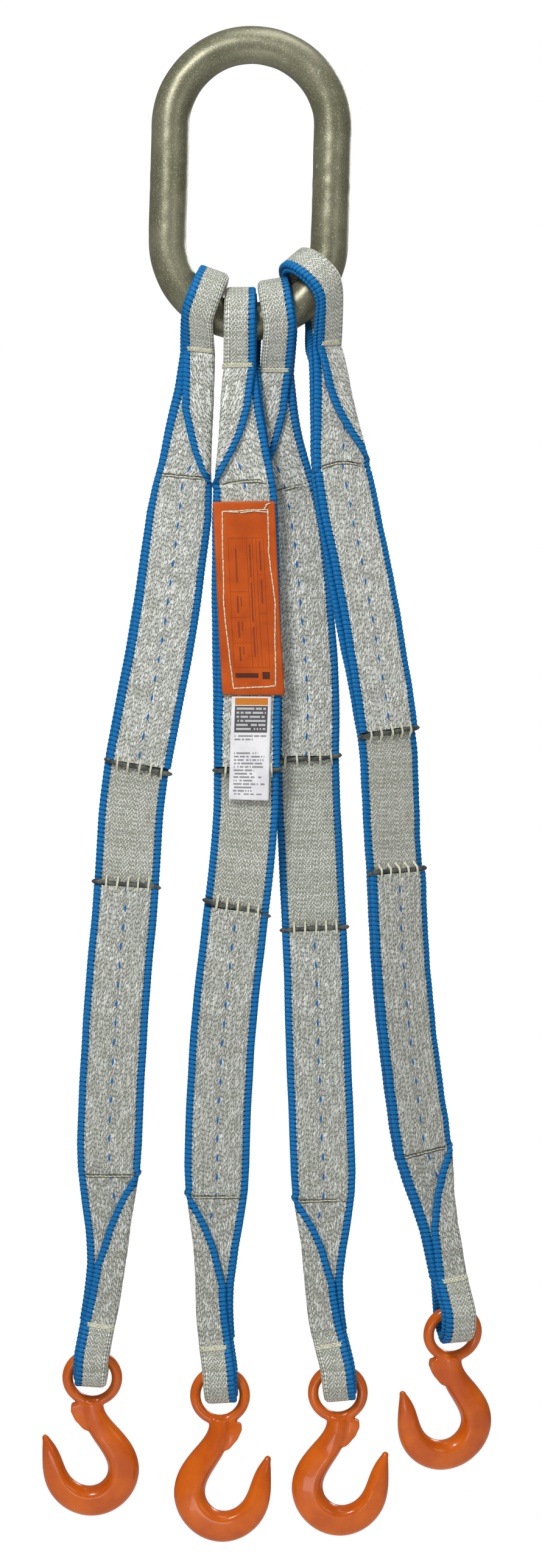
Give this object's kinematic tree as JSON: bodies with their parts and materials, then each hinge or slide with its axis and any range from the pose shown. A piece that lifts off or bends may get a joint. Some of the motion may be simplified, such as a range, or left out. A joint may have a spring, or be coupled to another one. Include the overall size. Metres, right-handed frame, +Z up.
{
  "type": "four-leg web bridle sling",
  "caption": "Flat web bridle sling: oblong master link, four sewn 2 in web legs with folded eyes, and a forged eye hook on each leg.",
  "frame": {"origin": "crown seat, the highest point inside the master link's top bow", "axes": "+Z up the hanging sling, -Y towards the front of the webs, +X to the right"},
  "size_m": [0.3485, 0.0704, 1.1651],
  "materials": {
    "link_steel": "bare forged alloy steel, satin olive grey",
    "web_silver": "woven polyester web, silver grey",
    "thread_cream": "sewing thread",
    "edge_blue": "ribbed blue selvedge of the web",
    "cut_end_dark": "heat-sealed web end",
    "hook_orange": "gloss orange paint on forged steel",
    "tag_orange": "laminated vinyl tag",
    "label_white": "printed film label"
  },
  "bodies": {
    "link": {"master_link": "link_steel"},
    "leg_1_eye": {"leg_1_upper_eye": "web_silver"},
    "leg_1_upper": {"leg_1_upper_taper_front": "web_silver", "leg_1_upper_taper_back": "web_silver", "leg_1_upper_tail_ply": "web_silver", "leg_1_upper_main_ply": "web_silver", "leg_1_upper_stitching": "thread_cream"},
    "leg_1_lower": {"leg_1_middle_web": "web_silver", "leg_1_lower_tail_ply": "web_silver", "leg_1_lower_main_ply": "web_silver", "leg_1_lower_taper": "web_silver", "leg_1_lower_eye": "web_silver", "leg_1_lower_stitching": "thread_cream"},
    "hook_1": {"leg_1_hook": "hook_orange"},
    "leg_2_eye": {"leg_2_upper_eye": "web_silver"},
    "leg_2_upper": {"leg_2_upper_taper_front": "web_silver", "leg_2_upper_taper_back": "web_silver", "leg_2_upper_tail_ply": "web_silver", "leg_2_upper_main_ply": "web_silver", "leg_2_upper_stitching": "thread_cream", "id_tag": "tag_orange", "tag_stitching": "thread_cream", "info_label": "label_white"},
    "leg_2_lower": {"leg_2_middle_web": "web_silver", "leg_2_lower_tail_ply": "web_silver", "leg_2_lower_main_ply": "web_silver", "leg_2_lower_taper": "web_silver", "leg_2_lower_eye": "web_silver", "leg_2_lower_stitching": "thread_cream"},
    "hook_2": {"leg_2_hook": "hook_orange"},
    "leg_3_eye": {"leg_3_upper_eye": "web_silver"},
    "leg_3_upper": {"leg_3_upper_taper_front": "web_silver", "leg_3_upper_taper_back": "web_silver", "leg_3_upper_tail_ply": "web_silver", "leg_3_upper_main_ply": "web_silver", "leg_3_upper_stitching": "thread_cream"},
    "leg_3_lower": {"leg_3_middle_web": "web_silver", "leg_3_lower_tail_ply": "web_silver", "leg_3_lower_main_ply": "web_silver", "leg_3_lower_taper": "web_silver", "leg_3_lower_eye": "web_silver", "leg_3_lower_stitching": "thread_cream"},
    "hook_3": {"leg_3_hook": "hook_orange"},
    "leg_4_eye": {"leg_4_upper_eye": "web_silver"},
    "leg_4_upper": {"leg_4_upper_taper_front": "web_silver", "leg_4_upper_taper_back": "web_silver", "leg_4_upper_tail_ply": "web_silver", "leg_4_upper_main_ply": "web_silver", "leg_4_upper_stitching": "thread_cream"},
    "leg_4_lower": {"leg_4_middle_web": "web_silver", "leg_4_lower_tail_ply": "web_silver", "leg_4_lower_main_ply": "web_silver", "leg_4_lower_taper": "web_silver", "leg_4_lower_eye": "web_silver", "leg_4_lower_stitching": "thread_cream"},
    "hook_4": {"leg_4_hook": "hook_orange"}
  },
  "joints": [
    {"name": "leg_1_swing", "type": "hinge", "parent": "link", "child": "leg_1_eye", "pos_m": [-0.0383, 0, -0.18674], "axis": [0.9397, 0, -0.342], "range_deg": [-50, 50]},
    {"name": "leg_1_splay", "type": "hinge", "parent": "leg_1_eye", "child": "leg_1_upper", "pos_m": [-0.04195, 0.00109, -0.236], "axis": [0, 1, 0], "range_deg": [0, 35], "deforming": ["leg_1_upper_taper_front", "leg_1_upper_taper_back"]},
    {"name": "leg_1_fold", "type": "hinge", "parent": "leg_1_upper", "child": "leg_1_lower", "pos_m": [-0.09329, 0.00494, -0.585], "axis": [0.9972, 0, -0.0749], "range_deg": [-120, 120], "deforming": ["leg_1_middle_web"]},
    {"name": "hook_1_swing", "type": "hinge", "parent": "leg_1_lower", "child": "hook_1", "pos_m": [-0.1226, 0, -0.9905], "axis": [-1, 0, 0], "range_deg": [-75, 75]},
    {"name": "leg_2_swing", "type": "hinge", "parent": "link", "child": "leg_2_eye", "pos_m": [-0.00868, 0, -0.1977], "axis": [-1, 0, 0], "range_deg": [0, 60]},
    {"name": "leg_2_splay", "type": "hinge", "parent": "leg_2_eye", "child": "leg_2_upper", "pos_m": [-0.0092, -0.00743, -0.25], "axis": [-0.8, 0.6, 0], "range_deg": [0, 24], "deforming": ["leg_2_upper_taper_front", "leg_2_upper_taper_back"]},
    {"name": "leg_2_fold", "type": "hinge", "parent": "leg_2_upper", "child": "leg_2_lower", "pos_m": [-0.00589, -0.00904, -0.594], "axis": [0.9979, 0.007, -0.0642], "range_deg": [-120, 120], "deforming": ["leg_2_middle_web"]},
    {"name": "hook_2_swing", "type": "hinge", "parent": "leg_2_lower", "child": "hook_2", "pos_m": [-0.0244, 0, -1.003], "axis": [-1, 0, 0], "range_deg": [-75, 75]},
    {"name": "leg_3_swing", "type": "hinge", "parent": "link", "child": "leg_3_eye", "pos_m": [0.02032, 0, -0.19363], "axis": [0.9877, 0, 0.1564], "range_deg": [0, 60]},
    {"name": "leg_3_splay", "type": "hinge", "parent": "leg_3_eye", "child": "leg_3_upper", "pos_m": [0.0183, 0.00871, -0.25], "axis": [0.893, -0.45, 0], "range_deg": [0, 24], "deforming": ["leg_3_upper_taper_front", "leg_3_upper_taper_back"]},
    {"name": "leg_3_fold", "type": "hinge", "parent": "leg_3_upper", "child": "leg_3_lower", "pos_m": [0.04475, 0.01153, -0.6], "axis": [-0.9988, 0, -0.0489], "range_deg": [-120, 120], "deforming": ["leg_3_middle_web"]},
    {"name": "hook_3_swing", "type": "hinge", "parent": "leg_3_lower", "child": "hook_3", "pos_m": [0.066, 0, -1.0015], "axis": [-1, 0, 0], "range_deg": [-75, 75]},
    {"name": "leg_4_swing", "type": "hinge", "parent": "link", "child": "leg_4_eye", "pos_m": [0.04901, 0, -0.17056], "axis": [-0.7431, 0, -0.6691], "range_deg": [0, 40]},
    {"name": "leg_4_splay", "type": "hinge", "parent": "leg_4_eye", "child": "leg_4_upper", "pos_m": [0.05809, -0.00401, -0.233], "axis": [0, -1, 0], "range_deg": [0, 35], "deforming": ["leg_4_upper_taper_front", "leg_4_upper_taper_back"]},
    {"name": "leg_4_fold", "type": "hinge", "parent": "leg_4_upper", "child": "leg_4_lower", "pos_m": [0.10756, -0.00853, -0.567], "axis": [0.8792, 0.4744, 0.0452], "range_deg": [-120, 120], "deforming": ["leg_4_middle_web"]},
    {"name": "hook_4_swing", "type": "hinge", "parent": "leg_4_lower", "child": "hook_4", "pos_m": [0.1552, 0, -0.9565], "axis": [-0.9781, -0.2079, 0], "range_deg": [-75, 75]}
  ]
}
